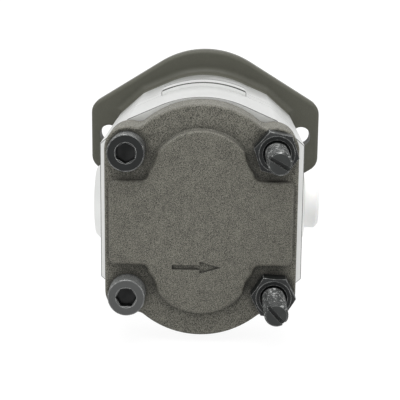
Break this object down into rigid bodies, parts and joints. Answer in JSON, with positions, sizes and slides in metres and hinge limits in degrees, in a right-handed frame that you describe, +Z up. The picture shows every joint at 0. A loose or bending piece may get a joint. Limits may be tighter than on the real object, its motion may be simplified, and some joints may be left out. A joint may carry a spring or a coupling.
{
  "type": "tandem hydraulic pump",
  "caption": "Tandem gear pump: two gear sections on one splined drive line behind an oval bolt-on flange with pilot, side ports, cast rear cover and long tie studs.",
  "frame": {"origin": "centre of the pilot on the mounting face of the flange, on the drive shaft's axis", "axes": "+Y along the drive shaft out of the drive end, +Z up from the idler shafts to the drive shafts, +X towards the outlet side"},
  "size_m": [0.1258, 0.2151, 0.1187],
  "materials": {
    "flange_iron": "phosphated casting, machined faces",
    "cover_iron": "phosphated casting, fine grain",
    "body_aluminium": "bright satin extrusion",
    "block_aluminium": "die-cast, ground faces",
    "bush_bronze": "lead-bronze lining",
    "gear_steel": "case-hardened, ground",
    "fastener_steel": "black oxide",
    "stud_steel": "lightly oiled grey steel",
    "pin_steel": "ground",
    "ring_steel": "phosphated spring steel",
    "seal_rubber": "nitrile",
    "backup_plastic": "filled PTFE",
    "plug_plastic": "natural white polyethylene"
  },
  "bodies": {
    "housing": {"mounting_flange": "flange_iron", "shaft_seal": "seal_rubber", "seal_circlip": "ring_steel", "interstage_plate": "body_aluminium", "rear_cover": "cover_iron", "cap_screws": "fastener_steel", "studs": "stud_steel", "stud_nuts": "fastener_steel", "dowel_pins": "pin_steel", "outlet_plug": "plug_plastic", "front_body": "body_aluminium", "front_body_seals": "seal_rubber", "front_block_fore": "block_aluminium", "front_block_aft": "block_aluminium", "front_bushes": "bush_bronze", "front_balance_seals": "seal_rubber", "front_backup_rings": "backup_plastic", "rear_body": "body_aluminium", "rear_body_seals": "seal_rubber", "rear_block_fore": "block_aluminium", "rear_block_aft": "block_aluminium", "rear_bushes": "bush_bronze", "rear_balance_seals": "seal_rubber", "rear_backup_rings": "backup_plastic"},
    "drive_train": {"front_drive_gear": "gear_steel", "coupling_sleeve": "gear_steel", "rear_drive_gear": "gear_steel"},
    "front_idler": {"front_idler_gear": "gear_steel"},
    "rear_idler": {"rear_idler_gear": "gear_steel"}
  },
  "joints": [
    {"name": "drive_spin", "type": "hinge", "parent": "housing", "child": "drive_train", "pos_m": [0, 0, 0], "axis": [0, 1, 0], "continuous": true},
    {"name": "front_idler_spin", "type": "hinge", "parent": "housing", "child": "front_idler", "pos_m": [0, -0.048, -0.0348], "axis": [0, 1, 0], "continuous": true},
    {"name": "rear_idler_spin", "type": "hinge", "parent": "housing", "child": "rear_idler", "pos_m": [0, -0.108, -0.0348], "axis": [0, 1, 0], "continuous": true}
  ],
  "couplings": [
    {"joint": "front_idler_spin", "follows": "drive_spin", "ratio": -1},
    {"joint": "rear_idler_spin", "follows": "drive_spin", "ratio": -1}
  ]
}
